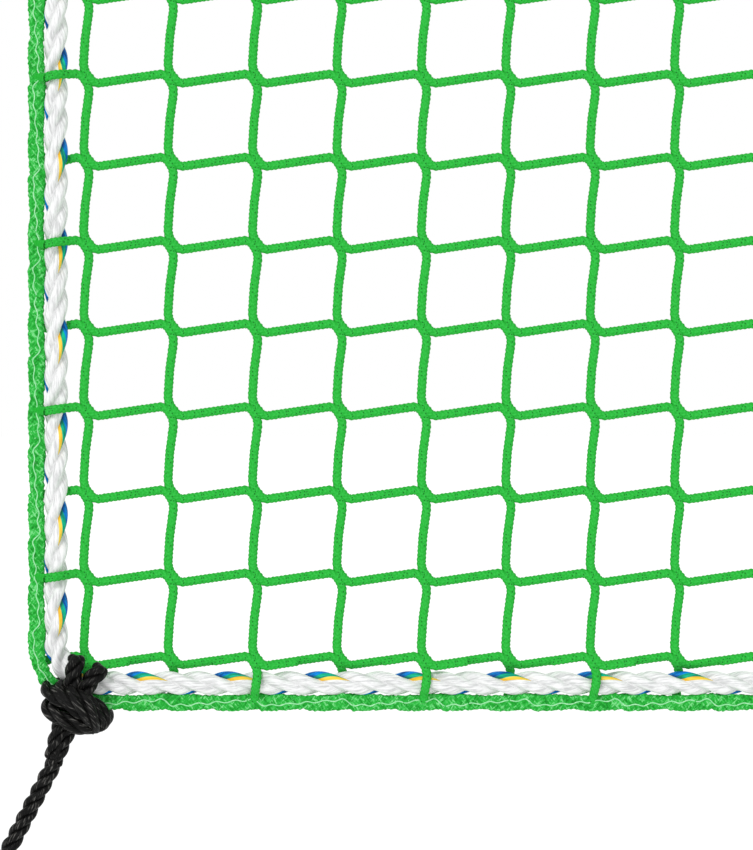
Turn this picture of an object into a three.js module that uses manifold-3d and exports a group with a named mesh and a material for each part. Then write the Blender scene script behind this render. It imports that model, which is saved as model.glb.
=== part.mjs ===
// A doubles tennis net: knotless square-mesh netting, bordered by a laid rope that is reeved through
// its edge meshes, hung by a canvas headband from a steel cable, with a tie cord at each lower corner.
//
// Frame: millimetres, +Z up, +X along the net, -Y towards the front. The origin is on the cable's
// axis at mid-length. Corner parts are drawn in [u, w, y]: u inwards from the net's outer edge,
// w upwards from its bottom edge, y the same as the frame's.
import * as THREE from 'three';
import { mergeVertices } from 'three/addons/utils/BufferGeometryUtils.js';
import Module from 'manifold-3d';

// Driving dimensions
const NET_LENGTH = 12800;
const NET_HEIGHT = 1070;
const GAP = 0.3;

// Steel cable with its eyes, ferrules and thimbles
const CABLE_RADIUS = 3;
const FERRULE_START = 50;
const FERRULE_LENGTH = 25;
const FERRULE_WALL = 2;
const LEG_SPACING = 7;
const LEG_STRAIGHT = 3;
const EYE_RADIUS = 14;
const EYE_DISTANCE = 30;
const THIMBLE_BORE_RADIUS = 6.5;
const THIMBLE_CHEEK_RADIUS = 13.5;
const THIMBLE_HALF_WIDTH = 5.5;
const EYE_STEPS = 12;

// Canvas headband, its end patches and their eyelets
const HEADBAND_DEPTH = 60;
const CANVAS = 1.6;
const SLEEVE_CLEARANCE = 0.4;
const HEADBAND_INSET = 24;
const PATCH_LENGTH = 70;
const PATCH_THICKNESS = 1.4;
const EYELET_RADIUS = 4.5;
const EYELET_WALL = 0.7;
const EYELET_FLANGE_RADIUS = 8.5;
const EYELET_FLANGE = 0.8;
const EYELET_DROP = 28;
const EYELET_INSET = 50;

// Netting, border rope and selvedge
const NETTING_THICKNESS = 1.5;
const NETTING_TUCK = 12;
const ROPE_RADIUS = 6.15;
const ROPE_INSET = 15;
const CORNER_RADIUS = 22;
const CORNER_STRAIGHT = 2;
const CORNER_STEPS = 8;
const SELVEDGE_WIDTH = 8.5;
const SELVEDGE_THICKNESS = 4;
const SELVEDGE_START_UP = 21;
const SELVEDGE_START_ALONG = 49;

// Corner tie cord
const KNOT_CORD_RADIUS = 3.9;
const KNOT_CORD_SIDES = 7;
const KNOT_CORE_RADIUS = 11;
const KNOT_CORE_STRETCH = [1.1, 0.9, 0.8];
const KNOT_CORE_U = 26;
const KNOT_RUN_END = 80;
const SECOND_END_RADIUS = 3.2;
const TAIL_RADIUS = 4.4;
const TAIL_PIVOT = [11.9, -31.5, 0];
const TAIL_END = [-19.7, -91.7, 0];
const TAIL_STEPS = 4;
const LOOP_RADIUS = 14;
const LOOP_KNOT_LENGTH = 20;
const LOOP_KNOT_RADIUS = 7;

// Worked out from the driving dimensions
const HALF_LENGTH = NET_LENGTH / 2;
const SLEEVE_INNER = CABLE_RADIUS + SLEEVE_CLEARANCE;
const SLEEVE_OUTER = SLEEVE_INNER + CANVAS;
const PATCH_INNER = SLEEVE_OUTER + GAP;
const PATCH_OUTER = PATCH_INNER + PATCH_THICKNESS;
const TOP = SLEEVE_OUTER;
const BOTTOM = TOP - NET_HEIGHT;
const HEADBAND_FOOT = TOP - HEADBAND_DEPTH;
const ROPE_EYE_RADIUS = CABLE_RADIUS + GAP + ROPE_RADIUS;

const COLOURS = {
  green: { color: 0x2fb344, roughness: 0.8, metalness: 0 },
  white: { color: 0xece9ea, roughness: 0.75, metalness: 0 },
  canvas: { color: 0xf4f2ec, roughness: 0.85, metalness: 0 },
  black: { color: 0x1c1b1a, roughness: 0.7, metalness: 0 },
  vinyl: { color: 0x262829, roughness: 0.5, metalness: 0 },
  coatedCable: { color: 0x1f2421, roughness: 0.4, metalness: 0.1 },
  aluminium: { color: 0xb9bcc0, roughness: 0.4, metalness: 0.9 },
  steel: { color: 0xa9adb2, roughness: 0.3, metalness: 0.95 },
  brass: { color: 0xb8933f, roughness: 0.35, metalness: 0.9 },
};

const group = new THREE.Group();
const wasm = await Module();
wasm.setup();

// A path that passes through its own points at equal parameter steps, so that a long straight run
// takes one step and a bend takes as many as it needs.
class PointPath extends THREE.Curve {
  constructor(points) {
    super();
    this.points = points;
  }

  getPoint(t) {
    const place = t * (this.points.length - 1);
    const index = Math.min(Math.floor(place), this.points.length - 2);
    return this.points[index].clone().lerp(this.points[index + 1], place - index);
  }

  getPointAt(t) {
    return this.getPoint(t);
  }

  getTangentAt(t) {
    const last = this.points.length - 1;
    const index = Math.round(t * last);
    const before = this.points[Math.max(index - 1, 0)];
    const here = this.points[index];
    const after = this.points[Math.min(index + 1, last)];
    const arriving = here.clone().sub(before).normalize();
    const leaving = after.clone().sub(here).normalize();
    return arriving.add(leaving).normalize();
  }
}

function circle(radius, sides) {
  const outline = new THREE.Shape();
  for (let i = 0; i < sides; i += 1) {
    const angle = (2 * Math.PI * i) / sides;
    const x = radius * Math.cos(angle);
    const y = radius * Math.sin(angle);
    if (i === 0) outline.moveTo(x, y);
    else outline.lineTo(x, y);
  }
  outline.closePath();
  return outline;
}

function tube(points, radius, sides = 10) {
  return new THREE.ExtrudeGeometry(circle(radius, sides), {
    steps: points.length - 1,
    extrudePath: new PointPath(points),
    bevelEnabled: false,
  });
}

// A profile drawn across the net, in (y, z), extruded along +X from x = 0.
function extrudeAlongNet(outline, length, curveSegments = 6) {
  const geometry = new THREE.ExtrudeGeometry(outline, {
    depth: length,
    bevelEnabled: false,
    curveSegments,
  });
  const yAxis = new THREE.Vector3(0, 1, 0);
  const zAxis = new THREE.Vector3(0, 0, 1);
  const xAxis = new THREE.Vector3(1, 0, 0);
  geometry.applyMatrix4(new THREE.Matrix4().makeBasis(yAxis, zAxis, xAxis));
  return geometry;
}

// An outline drawn in the net's plane, in (x, z), with its thickness centred on y = 0.
function plate(outline, thickness, curveSegments = 8) {
  const geometry = new THREE.ExtrudeGeometry(outline, {
    depth: thickness,
    bevelEnabled: false,
    curveSegments,
  });
  geometry.rotateX(Math.PI / 2);
  geometry.translate(0, thickness / 2, 0);
  return geometry;
}

function toSolid(geometry) {
  const plain = geometry.clone();
  plain.deleteAttribute('normal');
  plain.deleteAttribute('uv');
  const merged = mergeVertices(plain, 1e-4);
  return new wasm.Manifold(new wasm.Mesh({
    numProp: 3,
    vertProperties: new Float32Array(merged.attributes.position.array),
    triVerts: new Uint32Array(merged.index.array),
  }));
}

function toGeometry(solid) {
  const result = solid.getMesh();
  const geometry = new THREE.BufferGeometry();
  geometry.setAttribute('position', new THREE.BufferAttribute(result.vertProperties, 3));
  geometry.setIndex(new THREE.BufferAttribute(result.triVerts, 1));
  geometry.computeVertexNormals();
  return geometry;
}

function addMesh(parent, name, geometry, colour) {
  const mesh = new THREE.Mesh(geometry, new THREE.MeshStandardMaterial(COLOURS[colour]));
  mesh.name = name;
  parent.add(mesh);
  return mesh;
}

function groupAt(x, z) {
  const place = new THREE.Group();
  place.position.set(x, 0, z);
  group.add(place);
  return place;
}

// The folded section of the headband and of its end patches: a fold over the cable and two legs.
function foldedSection(inner, outer) {
  const outline = new THREE.Shape();
  outline.moveTo(-outer, HEADBAND_FOOT);
  outline.lineTo(-inner, HEADBAND_FOOT);
  outline.lineTo(-inner, 0);
  outline.absarc(0, 0, inner, Math.PI, 0, true);
  outline.lineTo(inner, HEADBAND_FOOT);
  outline.lineTo(outer, HEADBAND_FOOT);
  outline.lineTo(outer, 0);
  outline.absarc(0, 0, outer, 0, Math.PI, false);
  outline.closePath();
  return outline;
}

function eyeletHole(x) {
  const radius = EYELET_RADIUS + EYELET_WALL + GAP;
  const drill = new THREE.CylinderGeometry(radius, radius, 4 * PATCH_OUTER, 16);
  drill.translate(x, 0, -EYELET_DROP);
  return toSolid(drill);
}

function makeHeadband() {
  const length = NET_LENGTH - 2 * HEADBAND_INSET;
  const band = extrudeAlongNet(foldedSection(SLEEVE_INNER, SLEEVE_OUTER), length);
  band.translate(-length / 2, 0, 0);
  const holeX = HALF_LENGTH - EYELET_INSET;
  const cut = toSolid(band).subtract(eyeletHole(-holeX)).subtract(eyeletHole(holeX));
  addMesh(group, 'headband', toGeometry(cut), 'canvas');
}

function makeHeadbandEnd(side, sideName) {
  const place = groupAt(side * HALF_LENGTH, 0);
  const patch = extrudeAlongNet(foldedSection(PATCH_INNER, PATCH_OUTER), PATCH_LENGTH);
  const start = side < 0 ? HEADBAND_INSET : -HEADBAND_INSET - PATCH_LENGTH;
  patch.translate(start, 0, 0);
  const eyeletX = -side * EYELET_INSET;
  const cut = toSolid(patch).subtract(eyeletHole(eyeletX));
  addMesh(place, `headband_end_${sideName}`, toGeometry(cut), 'vinyl');

  const outerFace = PATCH_OUTER + GAP;
  const lip = outerFace + EYELET_FLANGE;
  const wall = EYELET_RADIUS + EYELET_WALL;
  const profile = [
    new THREE.Vector2(EYELET_RADIUS, -lip),
    new THREE.Vector2(EYELET_FLANGE_RADIUS, -lip),
    new THREE.Vector2(EYELET_FLANGE_RADIUS, -outerFace),
    new THREE.Vector2(wall, -outerFace),
    new THREE.Vector2(wall, outerFace),
    new THREE.Vector2(EYELET_FLANGE_RADIUS, outerFace),
    new THREE.Vector2(EYELET_FLANGE_RADIUS, lip),
    new THREE.Vector2(EYELET_RADIUS, lip),
    new THREE.Vector2(EYELET_RADIUS, -lip),
  ];
  const eyelet = addMesh(place, `eyelet_${sideName}`, new THREE.LatheGeometry(profile, 24), 'brass');
  eyelet.position.set(eyeletX, 0, -EYELET_DROP);
}

function makeCable() {
  const reach = HALF_LENGTH + FERRULE_START + FERRULE_LENGTH;
  const ends = [new THREE.Vector3(-reach, 0, 0), new THREE.Vector3(reach, 0, 0)];
  addMesh(group, 'steel_cable', tube(ends, CABLE_RADIUS, 12), 'coatedCable');
}

// One cable eye: the cable leaves the ferrule, goes round the thimble and comes back beside itself.
function makeCableEye(side, sideName) {
  const place = groupAt(side * HALF_LENGTH, -LEG_SPACING / 2);
  const face = FERRULE_START + FERRULE_LENGTH;
  const half = LEG_SPACING / 2;
  const bend = face + LEG_STRAIGHT;
  const centre = bend + EYE_DISTANCE;
  const reach = Math.hypot(EYE_DISTANCE, half);
  const tangent = Math.acos(EYE_RADIUS / reach) + Math.atan2(half, EYE_DISTANCE);

  const points = [
    new THREE.Vector3(side * (face + GAP), 0, half),
    new THREE.Vector3(side * bend, 0, half),
  ];
  for (let i = 0; i <= EYE_STEPS; i += 1) {
    const angle = tangent + ((2 * Math.PI - 2 * tangent) * i) / EYE_STEPS;
    const x = side * (centre - EYE_RADIUS * Math.cos(angle));
    points.push(new THREE.Vector3(x, 0, EYE_RADIUS * Math.sin(angle)));
  }
  points.push(new THREE.Vector3(side * bend, 0, -half));
  points.push(new THREE.Vector3(side * (FERRULE_START + 1), 0, -half));
  addMesh(place, `cable_eye_${sideName}`, tube(points, CABLE_RADIUS), 'coatedCable');

  const outer = CABLE_RADIUS + GAP + FERRULE_WALL;
  const section = new THREE.Shape();
  section.absarc(0, half, outer, 0, Math.PI, false);
  section.absarc(0, -half, outer, Math.PI, 2 * Math.PI, false);
  section.closePath();
  for (const z of [half, -half]) {
    const bore = new THREE.Path();
    bore.absarc(0, z, CABLE_RADIUS + GAP, 0, 2 * Math.PI, false);
    section.holes.push(bore);
  }
  const ferrule = extrudeAlongNet(section, FERRULE_LENGTH, 10);
  ferrule.translate(side < 0 ? -face : FERRULE_START, 0, 0);
  addMesh(place, `ferrule_${sideName}`, ferrule, 'aluminium');

  const groove = EYE_RADIUS - CABLE_RADIUS - GAP;
  const cheek = CABLE_RADIUS + GAP;
  const profile = [
    new THREE.Vector2(THIMBLE_BORE_RADIUS, -THIMBLE_HALF_WIDTH),
    new THREE.Vector2(THIMBLE_CHEEK_RADIUS, -THIMBLE_HALF_WIDTH),
    new THREE.Vector2(THIMBLE_CHEEK_RADIUS, -cheek),
    new THREE.Vector2(groove, -cheek),
    new THREE.Vector2(groove, cheek),
    new THREE.Vector2(THIMBLE_CHEEK_RADIUS, cheek),
    new THREE.Vector2(THIMBLE_CHEEK_RADIUS, THIMBLE_HALF_WIDTH),
    new THREE.Vector2(THIMBLE_BORE_RADIUS, THIMBLE_HALF_WIDTH),
    new THREE.Vector2(THIMBLE_BORE_RADIUS, -THIMBLE_HALF_WIDTH),
  ];
  const lathe = new THREE.LatheGeometry(profile, 32);
  const thimble = addMesh(place, `thimble_${sideName}`, lathe, 'steel');
  thimble.position.x = side * centre;
}

// The netting inside the border rope, as the flat panel that its cords fill.
function makeNetting() {
  const side = HALF_LENGTH - ROPE_INSET - ROPE_RADIUS - GAP;
  const foot = BOTTOM + ROPE_INSET + ROPE_RADIUS + GAP;
  const head = HEADBAND_FOOT + NETTING_TUCK;
  const arc = CORNER_RADIUS - ROPE_RADIUS - GAP;
  const outline = new THREE.Shape();
  outline.moveTo(side, head);
  outline.lineTo(-side, head);
  outline.lineTo(-side, foot + arc);
  outline.absarc(-side + arc, foot + arc, arc, Math.PI, 1.5 * Math.PI, false);
  outline.lineTo(side - arc, foot);
  outline.absarc(side - arc, foot + arc, arc, 1.5 * Math.PI, 2 * Math.PI, false);
  outline.closePath();
  addMesh(group, 'netting', plate(outline, NETTING_THICKNESS), 'green');
}

function makeBottomEdge() {
  const ropeReach = HALF_LENGTH - ROPE_INSET - CORNER_RADIUS - CORNER_STRAIGHT - GAP;
  const ropeZ = BOTTOM + ROPE_INSET;
  const ends = [new THREE.Vector3(-ropeReach, 0, ropeZ), new THREE.Vector3(ropeReach, 0, ropeZ)];
  addMesh(group, 'border_rope_bottom', tube(ends, ROPE_RADIUS, 12), 'white');

  const bandReach = HALF_LENGTH - SELVEDGE_START_ALONG;
  const band = extrudeAlongNet(bandSection(SELVEDGE_WIDTH), 2 * bandReach);
  band.translate(-bandReach, 0, BOTTOM);
  addMesh(group, 'selvedge_bottom', band, 'green');
}

// Section of a knitted selvedge band, in (y, z): as wide as asked for, with its corners taken off.
function bandSection(width) {
  const half = SELVEDGE_THICKNESS / 2;
  const chamfer = half / 2;
  const outline = new THREE.Shape();
  outline.moveTo(-half + chamfer, 0);
  outline.lineTo(half - chamfer, 0);
  outline.lineTo(half, chamfer);
  outline.lineTo(half, width - chamfer);
  outline.lineTo(half - chamfer, width);
  outline.lineTo(-half + chamfer, width);
  outline.lineTo(-half, width - chamfer);
  outline.lineTo(-half, chamfer);
  outline.closePath();
  return outline;
}

// The side run of the border rope: an eye round the cable, down the edge and round the lower corner.
function ropeSide(side, radius) {
  const centreU = ROPE_INSET + CORNER_RADIUS;
  const points = [cornerPoint(side, [ROPE_INSET, -BOTTOM - ROPE_EYE_RADIUS, 0])];
  for (let i = 0; i <= CORNER_STEPS; i += 1) {
    const angle = (Math.PI / 2) * (i / CORNER_STEPS);
    const u = centreU - CORNER_RADIUS * Math.cos(angle);
    const w = centreU - CORNER_RADIUS * Math.sin(angle);
    points.push(cornerPoint(side, [u, w, 0]));
  }
  points.push(cornerPoint(side, [centreU + CORNER_STRAIGHT, ROPE_INSET, 0]));
  return tube(points, radius, 12);
}

function makeSideEdge(side, sideName) {
  const place = groupAt(side * HALF_LENGTH, BOTTOM);
  const eye = new THREE.TorusGeometry(ROPE_EYE_RADIUS, ROPE_RADIUS, 12, 20);
  eye.rotateY(Math.PI / 2);
  eye.translate(-side * ROPE_INSET, 0, -BOTTOM);
  const rope = toSolid(ropeSide(side, ROPE_RADIUS)).add(toSolid(eye));
  addMesh(place, `border_rope_${sideName}`, toGeometry(rope), 'white');

  const length = HEADBAND_FOOT - GAP - BOTTOM - SELVEDGE_START_UP;
  const band = new THREE.ExtrudeGeometry(bandSection(SELVEDGE_WIDTH), {
    depth: length,
    bevelEnabled: false,
  });
  band.rotateZ(side * Math.PI / 2);
  band.translate(0, 0, SELVEDGE_START_UP);
  addMesh(place, `selvedge_${sideName}`, band, 'green');
}

function cornerPoint(side, [u, w, y]) {
  return new THREE.Vector3(-side * u, y, w);
}

// The corner knot's front and back turns, as routes [u, w, y] of one cord laid on and over itself.
const FRONT_TURNS = [
  [[27, 5, 10], [20, 10.5, 11], [13.2, 13.4, 6.5], [10.7, 12.6, 0],
    [12.4, 11.2, -7], [18, 8.2, -11.8], [25, 4.4, -13.6], [31, 0.2, -12.6], [36, -5, -9]],
  [[26, -3, 9], [18, 2.2, 10], [12.4, 3.6, 5.5], [11.2, 2.8, 0],
    [12.6, 1.2, -6.5], [17.5, -1.6, -10.4], [23.5, -5, -11.4], [29.5, -7.4, -10], [35, -7.6, -7]],
  [[22, 14, 4], [18.4, 13.4, -2], [18.4, 12.4, -8.4], [22.4, 10.2, -14], [27.4, 6.6, -17],
    [32.2, 1.8, -16.8], [36, -3.2, -13.4], [37.6, -7, -8]],
  [[23, 14, -5], [25.2, 11.9, -12.2], [29.2, 8.8, -15.6], [33.6, 4.6, -16], [37, -0.4, -13.6],
    [38.6, -4.6, -9], [36.4, -7.4, -3]],
  [[25, 11, -4], [29.5, 10, -8.5], [34, 6.6, -11], [38.6, 2.6, -10.6], [40.9, -1.8, -8.4],
    [40.4, -5.4, -6.6], [36.8, -7.4, -6.4], [31, -7, -7.4], [25, -5.6, -7]],
];
const BACK_TURNS = [
  [[14, 12, 5], [18, 13.4, 9.6], [24, 11, 13], [30, 7, 13.6], [35.6, 2, 11.6],
    [38.6, -4, 7.6], [36, -7.2, 1]],
  [[14, 7, 6], [19, 7.6, 10.4], [26, 4, 13.2], [32, -1, 12.4], [36, -5.8, 8.6], [37, -7.4, 2]],
  [[13, 1, 5], [18, -0.4, 9.4], [25, -3.6, 11.2], [31, -6.6, 9.6], [36, -7.6, 5]],
  [[26, 12, 3], [33, 8, 8.6], [38.6, 3, 8.2], [41, -2, 4.8], [40, -6, 1.4], [35, -7.6, 2]],
  [[20, -6, -3], [19.4, -7, 2], [22, -5.4, 7.6], [27, -2.4, 10]],
];

// The two short ends that stand up in front of the net.
const SHORT_ENDS = [
  [[27, 28.6, -11.5], [26.2, 23.6, -11.5], [24.9, 18, -11], [24.6, 12, -10.4]],
  [[39.6, 23.4, -11.5], [36.4, 19.4, -12], [33, 15, -11.4], [30.6, 9, -10.6]],
];

// The neck above the tail, and the cut end that lies beside it.
const NECK = [[24, -3, 0], [22.2, -8, 0], [13.87, -27.25, 0]];
const SECOND_END = [[20, -2, -2.8], [17, -8, -2.6], [15.4, -13.7, -2.4], [14, -19, -2.2], [13.3, -23.2, -2]];

function makeKnot(side, sideName) {
  const place = groupAt(side * HALF_LENGTH, BOTTOM);
  const cord = (points, radius, sides) => {
    const route = points.map((point) => cornerPoint(side, point));
    return toSolid(tube(route, radius, sides));
  };
  let knot = cord(NECK, TAIL_RADIUS, 10);
  knot = knot.add(cord(SECOND_END, SECOND_END_RADIUS, 8));
  for (const points of [...FRONT_TURNS, ...BACK_TURNS, ...SHORT_ENDS]) {
    knot = knot.add(cord(points, KNOT_CORD_RADIUS, KNOT_CORD_SIDES));
  }
  const core = new THREE.SphereGeometry(KNOT_CORE_RADIUS, 8, 6);
  core.scale(...KNOT_CORE_STRETCH);
  core.translate(-side * KNOT_CORE_U, 0, 0);
  knot = knot.add(toSolid(core));
  knot = knot.subtract(toSolid(ropeSide(side, ROPE_RADIUS + GAP)));
  const runStart = [ROPE_INSET + CORNER_RADIUS - 1, ROPE_INSET, 0];
  const runEnd = [KNOT_RUN_END, ROPE_INSET, 0];
  knot = knot.subtract(cord([runStart, runEnd], ROPE_RADIUS + GAP, 12));
  addMesh(place, `tie_knot_${sideName}`, toGeometry(knot), 'black');
}

// The free tail: a round end seated under the neck, then the taut run down to its loop.
function makeTail(side, sideName) {
  const place = groupAt(side * HALF_LENGTH, BOTTOM);
  const pivot = cornerPoint(side, TAIL_PIVOT);
  const end = cornerPoint(side, TAIL_END);
  const along = end.clone().sub(pivot).normalize();
  const points = [];
  for (let i = 0; i <= TAIL_STEPS; i += 1) {
    points.push(pivot.clone().lerp(end, i / TAIL_STEPS));
  }
  const ball = new THREE.SphereGeometry(TAIL_RADIUS, 12, 6);
  ball.translate(pivot.x, pivot.y, pivot.z);
  const tail = toSolid(tube(points, TAIL_RADIUS, 12)).add(toSolid(ball));
  addMesh(place, `tie_tail_${sideName}`, toGeometry(tail), 'black');

  const knotStart = end.clone().addScaledVector(along, GAP);
  const knotEnd = knotStart.clone().addScaledVector(along, LOOP_KNOT_LENGTH);
  const knotMiddle = knotStart.clone().lerp(knotEnd, 0.5);
  const waist = LOOP_KNOT_LENGTH - 2 * LOOP_KNOT_RADIUS;
  const knot = new THREE.CapsuleGeometry(LOOP_KNOT_RADIUS, waist, 4, 12);
  const aim = new THREE.Quaternion().setFromUnitVectors(new THREE.Vector3(0, 1, 0), along);
  knot.applyQuaternion(aim);
  knot.translate(knotMiddle.x, knotMiddle.y, knotMiddle.z);
  const ring = new THREE.TorusGeometry(LOOP_RADIUS, TAIL_RADIUS, 8, 20);
  ring.rotateX(Math.PI / 2);
  const centre = knotEnd.clone().addScaledVector(along, LOOP_RADIUS);
  ring.translate(centre.x, centre.y, centre.z);
  addMesh(place, `tie_loop_${sideName}`, toGeometry(toSolid(knot).add(toSolid(ring))), 'black');
}

makeCable();
makeHeadband();
makeNetting();
makeBottomEdge();
for (const [side, sideName] of [[-1, 'left'], [1, 'right']]) {
  makeCableEye(side, sideName);
  makeHeadbandEnd(side, sideName);
  makeSideEdge(side, sideName);
  makeKnot(side, sideName);
  makeTail(side, sideName);
}

export default group;
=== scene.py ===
"""A doubles tennis net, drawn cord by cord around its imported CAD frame.

The frame is in metres, +Z up, -Y towards the front. Shapes are worked out in millimetres and turned
into metres when a mesh is made. A corner point is [u, w, y]: u inwards from the net's outer edge,
w upwards from its bottom edge, y the same as the frame's.
"""
import math

import bpy
import numpy as np
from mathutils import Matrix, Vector


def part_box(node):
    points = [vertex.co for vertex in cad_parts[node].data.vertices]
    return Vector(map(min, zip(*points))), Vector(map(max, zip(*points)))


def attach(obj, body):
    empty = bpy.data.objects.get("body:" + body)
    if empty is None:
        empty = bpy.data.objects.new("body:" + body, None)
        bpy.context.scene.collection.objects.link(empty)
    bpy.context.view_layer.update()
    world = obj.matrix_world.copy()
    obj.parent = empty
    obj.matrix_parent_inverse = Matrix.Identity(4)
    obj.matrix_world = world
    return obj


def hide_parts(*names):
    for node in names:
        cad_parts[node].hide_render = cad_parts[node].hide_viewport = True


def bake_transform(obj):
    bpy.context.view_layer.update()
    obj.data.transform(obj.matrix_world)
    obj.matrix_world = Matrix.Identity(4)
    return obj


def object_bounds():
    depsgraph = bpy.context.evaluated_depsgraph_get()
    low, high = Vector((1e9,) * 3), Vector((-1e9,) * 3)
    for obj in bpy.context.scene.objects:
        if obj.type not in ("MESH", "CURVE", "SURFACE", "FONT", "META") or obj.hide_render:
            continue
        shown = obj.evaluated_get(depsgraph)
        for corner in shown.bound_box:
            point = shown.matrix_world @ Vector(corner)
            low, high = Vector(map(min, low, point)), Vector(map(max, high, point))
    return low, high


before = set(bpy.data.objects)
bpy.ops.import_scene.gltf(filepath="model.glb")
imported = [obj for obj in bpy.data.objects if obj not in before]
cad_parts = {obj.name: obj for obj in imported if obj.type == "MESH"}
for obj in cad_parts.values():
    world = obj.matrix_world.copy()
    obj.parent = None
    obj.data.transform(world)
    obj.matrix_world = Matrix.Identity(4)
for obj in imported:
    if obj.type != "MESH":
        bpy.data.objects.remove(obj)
cad_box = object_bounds()

MM = 0.001
TAU = 2 * math.pi

# Places that come from the frame, in millimetres
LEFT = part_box("selvedge_left")[0].x / MM
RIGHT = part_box("selvedge_right")[1].x / MM
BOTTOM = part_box("selvedge_bottom")[0].z / MM
HEADBAND_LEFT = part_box("headband")[0].x / MM
HEADBAND_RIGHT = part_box("headband")[1].x / MM
HEADBAND_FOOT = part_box("headband")[0].z / MM
FLOOR = cad_box[0].z / MM

# The view: a corner detail seen square on
VIEW_WIDTH = 401.6
VIEW_CENTRE = (185.9, 152.6)
LENS = 120
SENSOR = 36
SURROUND = 0.74

# Netting. The first and last upright cords stand UPRIGHT_INSET in from the net's outer edges, and
# FIRST_COLUMN and FIRST_ROW are the middle of the lower left joint.
COLUMNS = 284
ROWS = 23
FIRST_COLUMN = 31.7
FIRST_ROW = 26.7
UPRIGHT_INSET = 30.5
PITCH_ALONG = (RIGHT - LEFT - 2 * UPRIGHT_INSET) / (COLUMNS - 1)
PITCH_UP = 44.36
CORD_HALF_WIDTH = 2.4
CORD_HALF_DEPTH = 2.1
RUN_MIDDLE = 0.15
UPRIGHT_MIDDLE = -1.1
TIGHT_BEND = 5.0
WIDE_BEND = 11.0
ARC_POINTS = 24
STITCH = 2.3
RINGS_PER_STITCH = 4
PLAIN_RINGS = 6
KNITTED_SIDES = 10
PLAIN_SIDES = 6
REEVE_HEIGHT = 8.7
REEVE_INNER = 8.0
REEVE_OUTER = 6.3
DETAIL_COLUMNS = 9
DETAIL_ROWS = 9
BLOCK_COLUMNS = 18
END_SLOPE = 0.2

# Border rope. Its twist is counted from TRACER_W, the height of one mark of the tracer.
ROPE_INSET = 15.0
ROPE_DIAMETER = 12.6
ROPE_LAY = 48.4
CORNER_CENTRE = 37.0
TRACER_ANGLE = math.radians(-46)
TRACER_W = 49.5
CORNER_TURN = 0.4504
CORNER_TURN_START = 4
CORNER_TURN_LENGTH = 68
ROPE_EYE_RADIUS = 9.45
ROPE_EYE_FOOT = -42.0
DETAIL_RUN = 430.0
FAR_RUNS = 4

# Selvedge
BAND_CENTRE = 4.7
BAND_CORNER_CENTRE = 34.5
BAND_HALF_THICKNESS = 2.3
BAND_TOP = HEADBAND_FOOT - 0.3
BAND_REPEAT = 48.4
KNIT_PITCH = 3.1
THREAD_RADIUS = 0.34
THREAD_WANDER = 3.4
THREAD_ZIGZAGS = 5
THREAD_ZIGZAG = 0.75
THREAD_UNEVEN = 0.3

# Headband
TOP = 5.0
FACE_OFFSET = 800.0
PATCH_LENGTH = 72.0
PATCH_SEAM = -11.0
PATCH_HOLE = 5.6
CANVAS_THICKNESS = 1.4
CANVAS_THREAD = 1.2
VINYL_THICKNESS = 1.2
STITCH_PITCH = 7.0
STITCH_INSET = 4.5
STITCH_ROWS = (-9.5, HEADBAND_FOOT + 5.0)

# How a rope is laid: its strands' distance from its middle, how far round each strand's section is
# drawn in degrees, and the depth of the groove between two strands, in strand radii
SOFT_LAY = (1.02, 100.0, 1.12)
HARD_LAY = (0.88, 102.0, 0.95)

# Corner tie
TIE_LAY = 24.8
KNOT_DIAMETER = 8.8
KNOT_LAY = 40.0
SHORT_END_DIAMETER = 10.0
SECOND_END_DIAMETER = 8.6
TAIL_DIAMETER = 9.5
TAIL_PIVOT = [11.9, -31.5, 0]
TAIL_END = [-19.7, -91.7, 0]
SPLICE_DIAMETER = 12.0
SPLICE_LAY = 30.0


# ---------- lines

def arc_lengths(line):
    return np.concatenate([[0], np.cumsum(np.linalg.norm(np.diff(line, axis=0), axis=1))])


def resample(line, step):
    """Points at even distances along a line, its ends kept."""
    lengths = arc_lengths(line)
    count = max(2, int(round(lengths[-1] / step)) + 1)
    places = np.linspace(0, lengths[-1], count)
    return np.stack([np.interp(places, lengths, line[:, k]) for k in range(3)], 1)


def smooth_line(points, step):
    """A smooth line through given points, with a point about every step."""
    points = np.asarray(points, float)
    ends = np.vstack([2 * points[0] - points[1], points, 2 * points[-1] - points[-2]])
    t = np.linspace(0, 1, 24, endpoint=False)[:, None]
    dense = []
    for i in range(len(points) - 1):
        p0, p1, p2, p3 = ends[i:i + 4]
        bend = (2 * p0 - 5 * p1 + 4 * p2 - p3) * t ** 2 + (3 * p1 - p0 - 3 * p2 + p3) * t ** 3
        dense.append(0.5 * (2 * p1 + (p2 - p0) * t + bend))
    return resample(np.vstack([*dense, points[-1:]]), step)


def cut_line(line, start, stop):
    """The part of a line between two distances along it."""
    lengths = arc_lengths(line)
    inside = (lengths > start) & (lengths < stop)
    places = np.concatenate([[start], lengths[inside], [stop]])
    return np.stack([np.interp(places, lengths, line[:, k]) for k in range(3)], 1)


def sides_along(line, first_side=(0, -1, 0)):
    """Sides that don't twist along a line, and the directions square to them and to the line."""
    tangents = np.gradient(line, axis=0)
    tangents /= np.linalg.norm(tangents, axis=1, keepdims=True)
    sides = np.zeros_like(line)
    side = np.asarray(first_side, float)
    for i, tangent in enumerate(tangents):
        side = side - tangent * side.dot(tangent)
        side /= np.linalg.norm(side)
        sides[i] = side
    return sides, np.cross(tangents, sides)


def corner_points(side, points):
    """Corner points [u, w, y] as frame points."""
    points = np.asarray(points, float)
    edge = LEFT if side < 0 else RIGHT
    return np.stack([edge - side * points[:, 0], points[:, 2], BOTTOM + points[:, 1]], 1)


def corner_line(side, points, step):
    return smooth_line(corner_points(side, points), step)


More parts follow.
